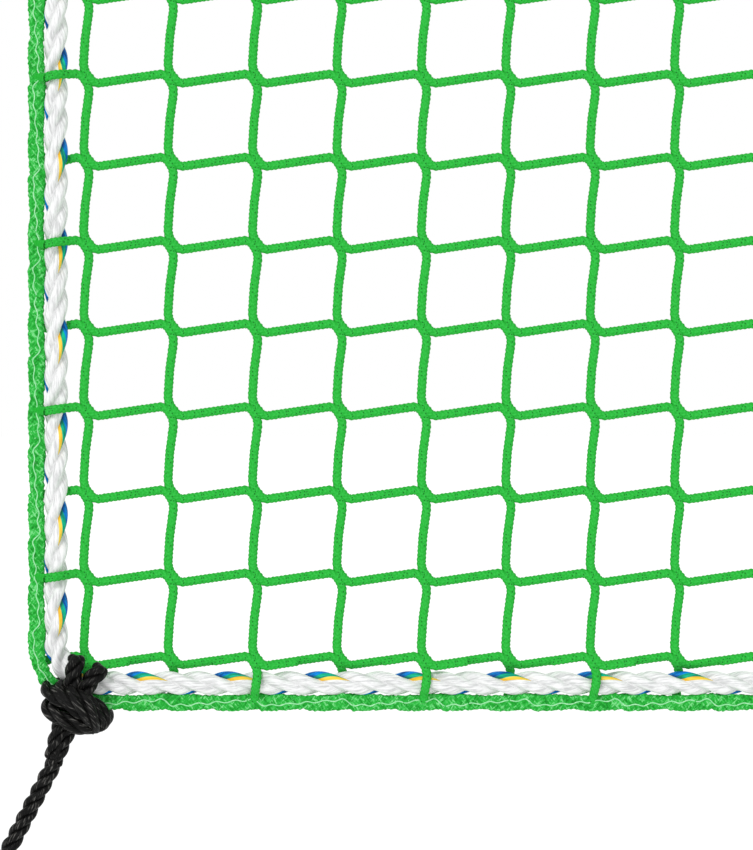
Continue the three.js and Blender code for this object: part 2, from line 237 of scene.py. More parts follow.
def border_line(inset, top, centre=CORNER_CENTRE):
    """The line round the net at an inset from its edge: down the left side, along and up again."""
    left, right, low = LEFT + inset, RIGHT - inset, BOTTOM + inset
    r = centre - inset
    turn = np.linspace(0, math.pi / 2, 32)
    flat = 0 * turn
    first = np.stack([left + r - r * np.cos(turn), flat, low + r - r * np.sin(turn)], 1)
    second = np.stack([right - r + r * np.sin(turn), flat, low + r - r * np.cos(turn)], 1)
    return np.vstack([[left, 0, top], first, second, [right, 0, top]])


def border_runs(line):
    """A border line cut into runs (start, stop, detailed), with the left corner in the detailed one."""
    corner = line[0, 2] - BOTTOM
    start, stop = corner - DETAIL_RUN, corner + DETAIL_RUN
    rest = (arc_lengths(line)[-1] - stop) / FAR_RUNS
    far = [(stop + rest * k, stop + rest * (k + 1), False) for k in range(FAR_RUNS)]
    return [(0, start, False), (start, stop, True), *far]


def wobble(place, period, start=0.0):
    """An uneven wave between about -1 and 1 that doesn't repeat."""
    turns = TAU * place / period
    wave = np.sin(turns + start) + np.sin(1.618 * turns + 1.3 + 2 * start)
    return (wave + np.sin(0.585 * turns + 4.1 + 3 * start)) / 2.2


def ease(value):
    value = np.clip(value, 0, 1)
    return value * value * (3 - 2 * value)


# ---------- meshes

class Shape:
    """Collects meshes, in millimetres, and makes them one Blender object."""

    def __init__(self):
        self.points = []
        self.faces = []
        self.values = {}
        self.size = 0

    def add(self, points, faces, **values):
        """Faces are (n, corners) arrays, and cord and tracer are their corners' values."""
        self.points.append(points.reshape(-1, 3))
        self.faces.append(faces + self.size)
        self.size += points.size // 3
        for name, width, blank in (("cord", 3, 0.0), ("tracer", 1, 0.5)):
            given = values.get(name, np.full((faces.size, width), blank))
            self.values.setdefault(name, []).append(given.reshape(-1, width))

    def make(self, name, material, body="net"):
        mesh = bpy.data.meshes.new(name)
        sizes = np.concatenate([np.full(len(f), f.shape[1]) for f in self.faces])
        corners = np.concatenate([f.ravel() for f in self.faces])
        points = np.concatenate(self.points) * MM
        mesh.vertices.add(len(points))
        mesh.vertices.foreach_set("co", points.astype(np.float32).ravel())
        mesh.loops.add(len(corners))
        mesh.loops.foreach_set("vertex_index", corners.astype(np.int32))
        mesh.polygons.add(len(sizes))
        starts = np.concatenate([[0], np.cumsum(sizes)[:-1]])
        mesh.polygons.foreach_set("loop_start", starts.astype(np.int32))
        mesh.polygons.foreach_set("use_smooth", np.full(len(sizes), True))
        mesh.update(calc_edges=True)
        for key, parts in self.values.items():
            kind = "FLOAT_VECTOR" if key == "cord" else "FLOAT"
            layer = mesh.attributes.new(key, kind, "CORNER")
            layer.data.foreach_set("vector" if key == "cord" else "value",
                                   np.concatenate(parts).astype(np.float32).ravel())
        thing = bpy.data.objects.new(name, mesh)
        bpy.context.collection.objects.link(thing)
        mesh.materials.append(material)
        if body:
            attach(thing, body)
        return thing


def ring_quads(rings, around):
    ring = np.arange(rings - 1)[:, None] * around
    k = np.arange(around)[None, :]
    k2 = (k + 1) % around
    return np.stack([ring + k, ring + k2, ring + around + k2, ring + around + k], -1).reshape(-1, 4)


def add_tube(shape, points, along, around_low, around_high, third, tracer=None):
    """Rings of points (rings, around, 3) as a closed tube, with its cord coordinates."""
    rings, around = points.shape[:2]
    ring = np.repeat(np.arange(rings - 1), around)
    place = np.tile(np.arange(around), rings - 1)
    cord = np.stack([
        np.stack([along[ring], around_low[place], third[ring, place]], -1),
        np.stack([along[ring], around_high[place], third[ring, place]], -1),
        np.stack([along[ring + 1], around_high[place], third[ring + 1, place]], -1),
        np.stack([along[ring + 1], around_low[place], third[ring + 1, place]], -1),
    ], 1)
    values = {"cord": cord}
    if tracer is not None:
        values["tracer"] = tracer(cord, place)
    faces = ring_quads(rings, around)
    shape.add(points, faces, **values)
    ends = np.stack([np.arange(around)[::-1], (rings - 1) * around + np.arange(around)])
    shape.add(np.zeros((0, 3)), ends - shape.size)


def add_laid_rope(shape, line, diameter, lay, rings_per_lay, per_strand, first_side=(0, -1, 0),
                  turns=None, size=None, traced=False, domes=False, phase=0.0, form=HARD_LAY):
    """A right-hand laid rope of three strands. turns and size give its twist and size along the line."""
    line = resample(np.asarray(line, float), lay / rings_per_lay)
    along = arc_lengths(line)
    side, up = sides_along(line, first_side)
    helix, reach, depth = form
    strand = diameter / 2 / (1 + helix)
    psi = np.radians(np.linspace(-reach, reach, per_strand))
    across = strand * np.append(helix + np.cos(psi), depth * 0.5)
    over = strand * np.append(np.sin(psi), depth * math.sqrt(0.75))
    spokes = np.arange(3) * TAU / 3
    x = (np.cos(spokes)[:, None] * across - np.sin(spokes)[:, None] * over).ravel()
    y = (np.sin(spokes)[:, None] * across + np.cos(spokes)[:, None] * over).ravel()
    twist = (phase + along / lay) if turns is None else turns(along)
    scale = (np.ones(len(line)) if size is None else size(along))[:, None]
    c, s = np.cos(TAU * twist)[:, None], np.sin(TAU * twist)[:, None]
    out = (x * c - y * s) * scale
    rise = (x * s + y * c) * scale
    points = line[:, None] + out[..., None] * side[:, None] + rise[..., None] * up[:, None]
    groove = psi[-1] + 0.4
    low = np.tile(np.append(psi, groove), 3) / TAU
    high = np.tile(np.append(psi[1:], [groove, -psi[-1]]), 3) / TAU
    third = twist[:, None] + np.repeat(np.arange(3) / 3, per_strand + 1)[None]

    def tracer(cord, place):
        tau = cord[..., 1] + 2 * (cord[..., 2] - TRACER_ANGLE / TAU)
        tau = tau - np.round(tau.mean(1, keepdims=True))
        return np.where((place < per_strand)[:, None], tau, 0.5)

    add_tube(shape, points, along, low, high, third, tracer if traced else None)
    if domes:
        for end in (0, -1):
            for spoke in spokes + TAU * twist[end]:
                lean = math.cos(spoke) * side[end] + math.sin(spoke) * up[end]
                centre = line[end] + helix * strand * scale[end] * lean
                add_ball(shape, centre, 1.02 * strand * scale[end, 0])


def add_ball(shape, centre, radius, rows=9, around=14):
    """The small round end of a strand."""
    rise = np.linspace(-0.98, 0.98, rows)[:, None] * math.pi / 2
    turn = np.linspace(0, TAU, around, endpoint=False)
    ball = np.cos(rise) * np.sin(turn), np.sin(rise) + 0 * turn, np.cos(rise) * np.cos(turn)
    faces = ring_quads(rows + 1, around)[:, [0, 3, 2, 1]] % (rows * around)
    shape.add(centre + radius * np.stack(ball, -1), faces)


def add_round_cord(shape, line, radius, step, around, first_side=(0, -1, 0), flat=1.0):
    line = resample(np.asarray(line, float), step)
    along = arc_lengths(line)
    side, up = sides_along(line, first_side)
    angle = np.linspace(0, TAU, around, endpoint=False)
    out = radius * np.cos(angle) * flat
    rise = radius * np.sin(angle)
    points = line[:, None] + out[:, None] * side[:, None] + rise[:, None] * up[:, None]
    slots = np.arange(around) / around
    add_tube(shape, points, along, slots, slots + 1 / around, np.zeros((len(line), around)))


# ---------- materials

class Nodes:
    """A material and short ways to write its node tree."""

    def __init__(self, name):
        self.material = bpy.data.materials.new(name)
        self.material.use_nodes = True
        self.tree = self.material.node_tree
        self.shader = self.tree.nodes["Principled BSDF"]

    def add(self, kind, **settings):
        node = self.tree.nodes.new(kind)
        for key, value in settings.items():
            setattr(node, key, value)
        return node

    def put(self, socket, value):
        if isinstance(value, (int, float)):
            socket.default_value = value
        elif isinstance(value, tuple):
            socket.default_value = (*value, 1.0)[:len(socket.default_value)]
        else:
            self.tree.links.new(value, socket)

    def fill(self, node, values):
        for name, value in values.items():
            self.put(node.inputs[name], value)

    def feed(self, node, *values):
        """Puts values into a node's first inputs and gives its first output."""
        for socket, value in zip(node.inputs, values):
            self.put(socket, value)
        return node.outputs[0]

    def math(self, operation, *values):
        return self.feed(self.add("ShaderNodeMath", operation=operation), *values)

    def times(self, first, second):
        return self.math("MULTIPLY", first, second)

    def times_plus(self, first, second, third):
        return self.math("MULTIPLY_ADD", first, second, third)

    def combine(self, *values):
        return self.feed(self.add("ShaderNodeCombineXYZ"), *values)

    def parts(self, vector):
        node = self.add("ShaderNodeSeparateXYZ")
        self.put(node.inputs[0], vector)
        return node.outputs

    def cord(self):
        return self.parts(self.add("ShaderNodeAttribute", attribute_name="cord").outputs["Vector"])

    def place(self):
        return self.add("ShaderNodeTexCoord").outputs["Object"]

    def scaled(self, x, y, z, turn=0.0):
        """Object coordinates turned about Y, then scaled per axis."""
        node = self.add("ShaderNodeMapping")
        self.fill(node, {"Rotation": (0.0, math.radians(turn), 0.0), "Vector": self.place()})
        scale = self.add("ShaderNodeVectorMath", operation="MULTIPLY")
        return self.feed(scale, node.outputs[0], (x, y, z))

    def noise(self, scale, detail=2.0, roughness=0.5, vector=None):
        node = self.add("ShaderNodeTexNoise")
        self.fill(node, {"Scale": scale, "Detail": detail, "Roughness": roughness,
                         "Vector": vector or self.place()})
        return node.outputs["Fac"]

    def ramp(self, value, low, high, start=0.0, stop=1.0):
        node = self.add("ShaderNodeMapRange", interpolation_type="SMOOTHSTEP")
        self.fill(node, {"From Min": low, "From Max": high, "To Min": start, "To Max": stop,
                         "Value": value})
        return node.outputs["Result"]

    def mix(self, factor, first, second):
        node = self.add("ShaderNodeMix", data_type="RGBA")
        for socket, value in ((0, factor), (6, first), (7, second)):
            self.put(node.inputs[socket], value)
        return node.outputs[2]

    def finish(self, colour, roughness, height=None, bump=0.3, distance=0.5, metallic=0.0,
               specular=0.3, sheen=0.0):
        """distance is the bump's height in millimetres."""
        self.fill(self.shader, {"Base Color": colour, "Roughness": roughness, "Metallic": metallic,
                                "Specular IOR Level": specular, "Sheen Weight": sheen})
        if height is not None:
            node = self.add("ShaderNodeBump")
            self.fill(node, {"Strength": bump, "Distance": distance * MM, "Height": height})
            self.put(self.shader.inputs["Normal"], node.outputs["Normal"])
        return self.material


def netting_material():
    """Knitted cord: fine slanted stitches, painted shade as deeper green at its edges and dark stitch
    holes.
    """
    n = Nodes("netting_cord")
    along, around, route = n.cord()
    edge = n.math("ABSOLUTE", n.math("COSINE", n.times(around, TAU)))
    slant = n.times_plus(edge, 0.9, n.times(along, 1 / STITCH))
    stitch = n.times_plus(n.math("SINE", n.times(slant, TAU)), 0.5, 0.5)
    fibres = n.noise(1.0, 3, 0.65, n.combine(along, n.times(around, 17.0), route))
    wide = n.combine(n.times(along, 0.4), n.times(around, 8.0), route)
    broad = n.noise(1.0, 2, 0.5, wide)
    shade = n.times_plus(stitch, 0.14, n.times(fibres, 0.86))
    colour = n.mix(n.ramp(shade, 0.34, 0.66), (0.013, 0.385, 0.029), (0.035, 0.515, 0.064))
    colour = n.mix(n.ramp(broad, 0.56, 0.75, 0.0, 0.4), colour, (0.06, 0.59, 0.095))
    # painted shade: deeper green where the round cord turns away at its two edges
    colour = n.mix(n.ramp(edge, 0.66, 1.0, 0.0, 0.6), colour, (0.008, 0.35, 0.018))
    # at most one stitch hole in each stitch, near one of two lines along the cord
    step = n.times(along, 1.15 / STITCH)
    chance = n.add("ShaderNodeTexWhiteNoise", noise_dimensions="2D")
    side = n.math("FLOOR", n.times(around, 4.0))
    cell = n.combine(n.math("FLOOR", step), n.times_plus(route, 7.0, side), 0.0)
    n.put(chance.inputs["Vector"], cell)
    split = n.add("ShaderNodeSeparateColor")
    n.put(split.inputs[0], chance.outputs["Color"])
    ahead = n.times_plus(split.outputs[0], 0.5, 0.25)
    aside = n.times_plus(split.outputs[1], 0.12, 0.05)
    half_turn = n.math("FRACT", n.times(around, 2.0))
    mirrored = n.math("ABSOLUTE", n.math("SUBTRACT", half_turn, 0.5))
    lengthwise = n.times(n.math("SUBTRACT", n.math("FRACT", step), ahead), 3.0)
    crosswise = n.times(n.math("SUBTRACT", mirrored, aside), 9.0)
    squares = n.math("ADD", n.math("POWER", lengthwise, 2.0), n.math("POWER", crosswise, 2.0))
    far = n.math("SQRT", squares)
    open_hole = n.math("GREATER_THAN", split.outputs[2], 0.66)
    hole = n.times(n.ramp(far, 0.34, 0.66, 1.0, 0.0), open_hole)
    # painted shade: a dark spot in each open stitch hole
    colour = n.mix(n.times(hole, 0.85), colour, (0.006, 0.09, 0.012))
    height = n.times_plus(stitch, 0.25, n.times(fibres, 0.6))
    height = n.math("SUBTRACT", height, n.times(hole, 0.7))
    return n.finish(colour, 0.8, height, 0.35, 0.3, specular=0.15)


def selvedge_material():
    """Dense knitted band: crossing light and dark stitches of many sizes."""
    n = Nodes("selvedge")
    first = n.noise(1.0, 2, 0.55, n.scaled(1150, 700, 300, 38))
    second = n.noise(1.0, 2, 0.55, n.scaled(1150, 700, 300, -42))
    third = n.noise(1.0, 2, 0.5, n.scaled(380, 380, 380))
    grain = n.noise(1400, 2, 0.6)
    shade = n.times_plus(first, 0.5, n.times(second, 0.5))
    colour = n.mix(n.ramp(shade, 0.40, 0.60), (0.011, 0.345, 0.027), (0.036, 0.515, 0.068))
    light = n.math("MAXIMUM", n.ramp(first, 0.585, 0.64), n.ramp(second, 0.59, 0.645))
    light = n.times(light, n.ramp(third, 0.36, 0.58, 0.1, 0.8))
    colour = n.mix(light, colour, (0.24, 0.74, 0.29))
    dark = n.math("MAXIMUM", n.ramp(first, 0.40, 0.33), n.ramp(second, 0.41, 0.34))
    dark = n.times(dark, n.ramp(third, 0.62, 0.42, 0.1, 0.8))
    colour = n.mix(dark, colour, (0.006, 0.19, 0.016))
    height = n.times_plus(grain, 0.25, shade)
    return n.finish(colour, 0.8, height, 0.9, 0.8, specular=0.15)


def yarns(n, stretch, width):
    """Streaks of the yarns that run almost straight along a laid rope; on the tie cord, painted
    highlights.
    """
    along, around, turns = n.cord()
    angle = n.times_plus(turns, 2.0, around)
    place = n.combine(n.times(along, stretch), n.times(angle, width), turns)
    return around, n.noise(1.0, 3, 0.6, place)


def border_rope_material():
    """White laid rope whose one strand carries a blue, a teal and a yellow yarn side by side."""
    n = Nodes("border_rope")
    around, yarn = yarns(n, 0.12, 17.0)
    groove = n.ramp(n.math("ABSOLUTE", around), 0.20, 0.30)
    colour = n.mix(n.ramp(yarn, 0.34, 0.60), (0.60, 0.605, 0.61), (0.90, 0.90, 0.905))
    # painted shade: grey in the grooves between strands
    colour = n.mix(n.times(groove, 0.2), colour, (0.55, 0.56, 0.54))
    tracer = n.add("ShaderNodeAttribute", attribute_name="tracer").outputs["Fac"]
    light = n.ramp(yarn, 0.3, 0.65)
    bands = ((-0.345, -0.095, (0.0, 0.05, 0.24), (0.0, 0.26, 0.82)),
             (-0.095, 0.035, (0.0, 0.15, 0.11), (0.0, 0.54, 0.29)),
             (0.035, 0.135, (0.80, 0.46, 0.02), (0.98, 0.70, 0.085)))
    for start, stop, deep, bright in bands:
        inside = n.times(n.math("GREATER_THAN", tracer, start), n.math("LESS_THAN", tracer, stop))
        # painted shade: each tracer yarn turns to its deep colour in the grooves
        shade = n.mix(groove, n.mix(light, deep, bright), deep)
        colour = n.mix(inside, colour, shade)
    height = n.times_plus(n.noise(1100, 2, 0.6), 0.2, yarn)
    return n.finish(colour, 0.6, height, 0.4, 0.4, specular=0.2)


def tie_cord_material():
    """Black laid cord, glossy, with painted highlight streaks on its yarns and painted shade in its
    grooves.
    """
    n = Nodes("tie_cord")
    around, yarn = yarns(n, 0.16, 20.0)
    fibres = n.noise(1600, 2, 0.6)
    groove = n.ramp(n.math("ABSOLUTE", around), 0.17, 0.28)
    colour = n.mix(n.ramp(yarn, 0.36, 0.56), (0.0008, 0.0008, 0.0008), (0.005, 0.0049, 0.0046))
    # painted highlight: light grey streaks along the yarns
    colour = n.mix(n.ramp(yarn, 0.53, 0.68), colour, (0.13, 0.126, 0.118))
    # painted shade: near black in the grooves between strands
    colour = n.mix(n.times(groove, 0.9), colour, (0.001, 0.001, 0.001))
    rough = n.times_plus(fibres, 0.3, 0.3)
    height = n.times_plus(fibres, 0.35, yarn)
    return n.finish(colour, rough, height, 0.8, 0.5, specular=0.11)


def canvas_material():
    """White canvas with a plain weave, a little dusty."""
    n = Nodes("headband_canvas")
    x, _, z = n.parts(n.place())
    warp = n.math("SINE", n.times(x, TAU / (CANVAS_THREAD * MM)))
    weft = n.math("SINE", n.times(z, TAU / (CANVAS_THREAD * MM)))
    weave = n.times_plus(n.times(warp, weft), 0.5, 0.5)
    dust = n.noise(14, 4, 0.6)
    colour = n.mix(n.ramp(dust, 0.3, 0.75), (0.68, 0.665, 0.62), (0.78, 0.77, 0.74))
    colour = n.mix(n.times(weave, 0.15), colour, (0.5, 0.49, 0.45))
    return n.finish(colour, 0.85, weave, 0.4, 0.25, specular=0.2, sheen=0.1)


def vinyl_material():
    """Black coated fabric with an embossed grain, worn lighter in places."""
    n = Nodes("end_patch_vinyl")
    cells = n.add("ShaderNodeTexVoronoi", feature="DISTANCE_TO_EDGE")
    n.fill(cells, {"Scale": 900.0, "Vector": n.place()})
    grain = n.ramp(cells.outputs["Distance"], 0.0, 0.25)
    wear = n.noise(55, 4, 0.65)
    colour = n.mix(n.ramp(wear, 0.45, 0.75), (0.009, 0.010, 0.010), (0.026, 0.027, 0.027))
    colour = n.mix(grain, (0.005, 0.005, 0.005), colour)
    rough = n.times_plus(wear, 0.35, 0.28)
    return n.finish(colour, rough, grain, 0.35, 0.15, specular=0.4)


def plain_material(name, colour, worn, roughness, scale, metallic=0.0, specular=0.5):
    """A hard or coated surface with fine unevenness and some wear in its colour and gloss."""
    n = Nodes(name)
    wear = n.noise(scale, 4, 0.6)
    mixed = n.mix(n.ramp(wear, 0.42, 0.75), colour, worn)
    rough = n.times_plus(wear, 0.3, roughness - 0.15)
    return n.finish(mixed, rough, n.noise(scale * 10, 2, 0.5), 0.12, 0.2, metallic, specular)


# ---------- netting

# A cord's way through a joint, as corners (along, up, bend radius) from the joint's middle. One cord
# comes from the left and goes down. Its neighbour comes from above and goes right, and the two lie
# against each other.
LEFT_TO_DOWN = [(-PITCH_ALONG / 2, RUN_MIDDLE, 0), (-4.0, 2.8, TIGHT_BEND), (1.4, -3.9, WIDE_BEND),
                (UPRIGHT_MIDDLE, -PITCH_UP / 2, 0)]
ABOVE_TO_RIGHT = [(UPRIGHT_MIDDLE, PITCH_UP / 2, 0), (-2.2, 4.8, WIDE_BEND), (3.8, -2.6, TIGHT_BEND),
                  (PITCH_ALONG / 2, RUN_MIDDLE, 0)]


def round_off(corners):
    """A line through corners (x, z, radius), each inner one rounded off with an arc."""
    places = np.array([(x, 0.0, z) for x, z, _ in corners])
    line = [places[:1]]
    for before, corner, after, (_, _, radius) in zip(places, places[1:], places[2:], corners[1:]):
        back = (before - corner) / np.linalg.norm(before - corner)
        onward = (after - corner) / np.linalg.norm(after - corner)
        inward = (back + onward) / np.linalg.norm(back + onward)
        across = (onward - back) / np.linalg.norm(onward - back)
        half = math.acos(back.dot(onward)) / 2
        centre = corner + inward * radius / math.sin(half)
        turn = np.linspace(half - math.pi / 2, math.pi / 2 - half, ARC_POINTS)[:, None]
        line.append(centre + radius * (across * np.sin(turn) - inward * np.cos(turn)))
    return np.vstack([*line, places[-1:]])


def cord_rings(route, around, knitted):
    """The rings of one cord's way through a joint, and how far along it each ring is."""
    line = round_off(route)
    length = arc_lengths(line)[-1]
    stitches = round(length / STITCH)
    rings = stitches * RINGS_PER_STITCH + 1 if knitted else PLAIN_RINGS
    line = resample(line, length / (rings - 1))
    tangent = np.gradient(line, axis=0)
    for end, (near, far) in ((0, route[:2]), (-1, route[-2:])):
        tangent[end] = (far[0] - near[0], 0, far[1] - near[1])
    tangent /= np.linalg.norm(tangent, axis=1, keepdims=True)
    side = np.stack([-tangent[:, 2], np.zeros(rings), tangent[:, 0]], 1)
    place = np.linspace(0, stitches, rings)
    angle = np.linspace(0, TAU, around, endpoint=False)
    swell = 1.0
    if knitted:
        uneven = 0.035 * wobble(place * STITCH, 5.3) * np.sin(math.pi * place / stitches)
        wave = np.cos(TAU * place[:, None] + 0.9 * np.abs(np.sin(angle)))
        swell = 1 + uneven[:, None] + 0.07 * wave * np.cos(angle)
    wide = CORD_HALF_WIDTH * swell * np.cos(angle) * np.ones((rings, 1))
    deep = CORD_HALF_DEPTH * np.sin(angle) * np.ones((rings, 1))
    points = line[:, None] + wide[..., None] * side[:, None]
    points[..., 1] -= deep
    return points, place * STITCH


def reeve(points, joints):
    """Pushes the cords that meet an edge in turn in front of and behind the border rope."""
    x, z = points[..., 0], points[..., 2]
    rows = np.where(joints[:, 1] % 2 == 1, -1.0, 1.0)[:, None, None]
    columns = np.where(joints[:, 0] % 2 == 0, -1.0, 1.0)[:, None, None]
    gaps = ((x - LEFT - ROPE_INSET, rows), (RIGHT - ROPE_INSET - x, rows),
            (z - BOTTOM - ROPE_INSET, columns))
    for gap, way in gaps:
        spread = np.where(gap > 0, REEVE_INNER, REEVE_OUTER)
        points[..., 1] += way * REEVE_HEIGHT * np.exp(-(gap / spread) ** 2)


def netting_piece(name, joints, knitted, material):
    """The cords through some joints (column, row), welded where two of them meet in mid-run."""
    joints = np.asarray(joints)
    around = KNITTED_SIDES if knitted else PLAIN_SIDES
    origins = np.stack([LEFT + FIRST_COLUMN + PITCH_ALONG * joints[:, 0], 0.0 * joints[:, 0],
                        BOTTOM + FIRST_ROW + PITCH_UP * joints[:, 1]], 1)
    # every mid-run has a number: an even one on a joint's left and an odd one below it
    left = 2 * (joints[:, 0] * 100 + joints[:, 1])
    routes = ((LEFT_TO_DOWN, left, left + 1), (ABOVE_TO_RIGHT, left + 3, left + 200))
    shape = Shape()
    weld = {}
    tubes = []
    count = 0
    for route, starts, stops in routes:
        rings, along = cord_rings(route, around, knitted)
        placed = origins[:, None, None] + rings[None]
        reeve(placed, joints)
        ids = count + np.arange(placed.size // 3).reshape(placed.shape[:3])
        count += ids.size
        tubes.append((placed, along, ids, stops))
        for joint, place in enumerate(starts):
            weld[int(place)] = ids[joint, 0]
    for number, (placed, along, ids, stops) in enumerate(tubes):
        for joint, place in enumerate(stops):
            if int(place) in weld:
                ids[joint, -1] = weld[int(place)]
        after = np.roll(ids, -1, axis=2)
        faces = np.stack([ids[:, :-1], ids[:, 1:], after[:, 1:], after[:, :-1]], -1).reshape(-1, 4)
        size = (len(joints), len(along) - 1, around)
        here = np.broadcast_to(along[:-1, None], size).ravel()
        there = np.broadcast_to(along[1:, None], size).ravel()
        low = np.broadcast_to(np.arange(around) / around, size).ravel()
        high = low + 1 / around
        route = np.full(len(low), float(number))
        cord = np.stack([np.stack([here, low, route], -1), np.stack([there, low, route], -1),
                         np.stack([there, high, route], -1), np.stack([here, high, route], -1)], 1)
        shape.add(placed, faces - shape.size, cord=cord)
    drop_unused(shape)
    return shape.make(name, material)


def drop_unused(shape):
    """Leaves out the points that no face uses after welding."""
    points = np.concatenate(shape.points)
    used = np.unique(np.concatenate([f.ravel() for f in shape.faces]))
    renumber = np.zeros(len(points), np.int64)
    renumber[used] = np.arange(len(used))
    shape.points = [points[used]]
    shape.faces = [renumber[f] for f in shape.faces]


def make_netting(material):
    corner = [(i, j) for i in range(DETAIL_COLUMNS) for j in range(DETAIL_ROWS)]
    half = len(corner) // 2
    first = netting_piece("netting_corner_a", corner[:half], True, material)
    netting_piece("netting_corner_b", corner[half:], True, material)
    for block in range(math.ceil(COLUMNS / BLOCK_COLUMNS)):
        columns = range(block * BLOCK_COLUMNS, min((block + 1) * BLOCK_COLUMNS, COLUMNS))
        joints = [(i, j) for i in columns for j in range(ROWS)
                  if i >= DETAIL_COLUMNS or j >= DETAIL_ROWS]
        netting_piece(f"netting_panel_{block + 1:02d}", joints, False, material)
    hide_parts("netting")
    make_cord_ends(material)


def make_cord_ends(material):
    """Where a row's cord passes the rope and is knitted into the selvedge, on both sides."""
    shape = Shape()
    u = FIRST_COLUMN - PITCH_ALONG / 2
    height = REEVE_HEIGHT * np.exp(-((u - ROPE_INSET) / REEVE_OUTER) ** 2)
    for row in range(ROWS):
        way = -1 if row % 2 == 1 else 1
        w = FIRST_ROW + PITCH_UP * row + RUN_MIDDLE
        for side in (-1, 1):
            slope = -END_SLOPE * side
            route = [[u + 1.5, w - slope * 1.5, way * (height + 1.6)], [u, w, way * height],
                     [u - 2.0, w + slope * 2, way * height * 0.5], [u - 4.2, w + slope * 4, way * 0.6],
                     [u - 6.0, w + slope * 6, 0]]
            line = corner_line(side, route, 0.4)
            add_round_cord(shape, line, CORD_HALF_WIDTH, 0.6, KNITTED_SIDES, flat=0.9)
    shape.make("netting_cord_ends", material)


# ---------- border rope

def rope_turns(start):
    """The border rope's twist along it: one turn a lay, and a little more at the corner."""
    patch = -BOTTOM + ROPE_EYE_FOOT - TRACER_W

    def turns(along):
        place = start + along
        extra = ease((place - patch - CORNER_TURN_START) / CORNER_TURN_LENGTH)
        return (place - patch) / ROPE_LAY + CORNER_TURN * extra + TRACER_ANGLE / TAU

    return turns


def make_border_rope(material):
    line = border_line(ROPE_INSET, ROPE_EYE_FOOT)
    for number, (low, high, detailed) in enumerate(border_runs(line), 1):
        rings, points = (52, 15) if detailed else (14, 7)
        shape = Shape()
        add_laid_rope(shape, cut_line(line, low, high), ROPE_DIAMETER, ROPE_LAY, rings, points,
                      turns=rope_turns(low), traced=True, form=SOFT_LAY)
        piece = shape.make(f"border_rope_run_{number}", material)
        if detailed:
            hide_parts("border_rope_left", "border_rope_bottom", "border_rope_right")
    for side, name in ((-1, "left"), (1, "right")):
        make_rope_eye(side, name, material)


def make_rope_eye(side, name, material):
    """The rope's end goes round the cable and back beside itself, under a whipping of twine."""
    x = (LEFT if side < 0 else RIGHT) - side * ROPE_INSET
    r = ROPE_EYE_RADIUS
    bend = [(r * math.sin(a), r * math.cos(a)) for a in np.radians([-115, -80, -40, 0, 40, 80, 115])]
    route = [(0, ROPE_EYE_FOOT), (-0.6, -34), (-3.4, -22), (-6.8, -12), *bend, (6.8, -12), (4.4, -22),
             (3.6, -34), (3.2, -47)]
    line = smooth_line([(x, y, z) for y, z in route], 0.5)
    length = arc_lengths(line)[-1]

    def size(along):
        return 1 - 0.55 * ease((along - length + 34) / 30)

    shape = Shape()
    add_laid_rope(shape, line, ROPE_DIAMETER, ROPE_LAY, 30, 9, (1, 0, 0), size=size, form=SOFT_LAY)
    shape.make(f"rope_eye_{name}", material)
    make_whipping(x, name, LIGHT_THREAD)


def make_whipping(x, name, material):
    """Turns of twine round the two parts of the rope, a little wider from front to back."""
    turns, pitch, radius, twine_radius, foot = 13, 1.35, 7.1, 0.75, -46
    angle = np.linspace(0, TAU * turns, turns * 28)
    line = np.stack([x + radius * np.cos(angle), 1.3 + (radius + 0.8) * np.sin(angle),
                     foot + pitch * angle / TAU], 1)
    shape = Shape()
    add_round_cord(shape, line, twine_radius, 1.6, 8, (0, 0, 1))
    shape.make(f"rope_whipping_{name}", material)


# ---------- selvedge

def saw(place):
    """Rises slowly from 0 to 1 over each whole step and falls back quickly."""
    part = place - np.floor(place)
    return np.where(part < 0.9, part / 0.9, (1 - part) / 0.1)


def band_edges(place):
    """How far the knitted band's outer and inner edges stand from its centre line."""
    outer = 5.0 - 1.1 * saw(place / (BAND_REPEAT / 2)) ** 1.6 - 0.5 * saw(place / BAND_REPEAT + 0.37)
    outer = outer + 0.28 * wobble(place, 4.1) + 0.16 * wobble(place, 1.7, 2.0)
    inner = 4.3 + 0.55 * np.cos(TAU * place / BAND_REPEAT)
    inner = inner + 0.3 * wobble(place, 5.2, 1.0) + 0.15 * wobble(place, 2.1)
    return outer, inner


def add_band(shape, line, start, step, around, knitted):
    """The band as a flattened tube with uneven edges, and with its stitches where they are wanted."""
    line = resample(line, step)
    along = arc_lengths(line)
    place = start + along
    side, up = sides_along(line)
    outer, inner = band_edges(place)
    angle = np.linspace(0, TAU, around, endpoint=False)
    c, s = np.cos(angle)[None], np.sin(angle)[None]
    reach = np.where(c > 0, outer[:, None], inner[:, None])
    across = reach * np.sign(c) * np.abs(c) ** 0.72
    deep = BAND_HALF_THICKNESS * np.sign(s) * np.abs(s) ** 0.6
    if knitted:
        chevron = (place[:, None] + 0.75 * np.abs(across)) / KNIT_PITCH
        relief = 0.5 + 0.5 * np.sin(TAU * chevron) * np.cos(TAU * across / 3.3)
        uneven = wobble(place[:, None] + 2.3 * across, 6.1)
        deep = deep * (0.86 + 0.16 * relief + 0.06 * uneven)
    points = line[:, None] + across[..., None] * up[:, None] + deep[..., None] * side[:, None]
    slots = np.arange(around) / around
    add_tube(shape, points, along, slots, slots + 1 / around, np.zeros((len(line), around)))


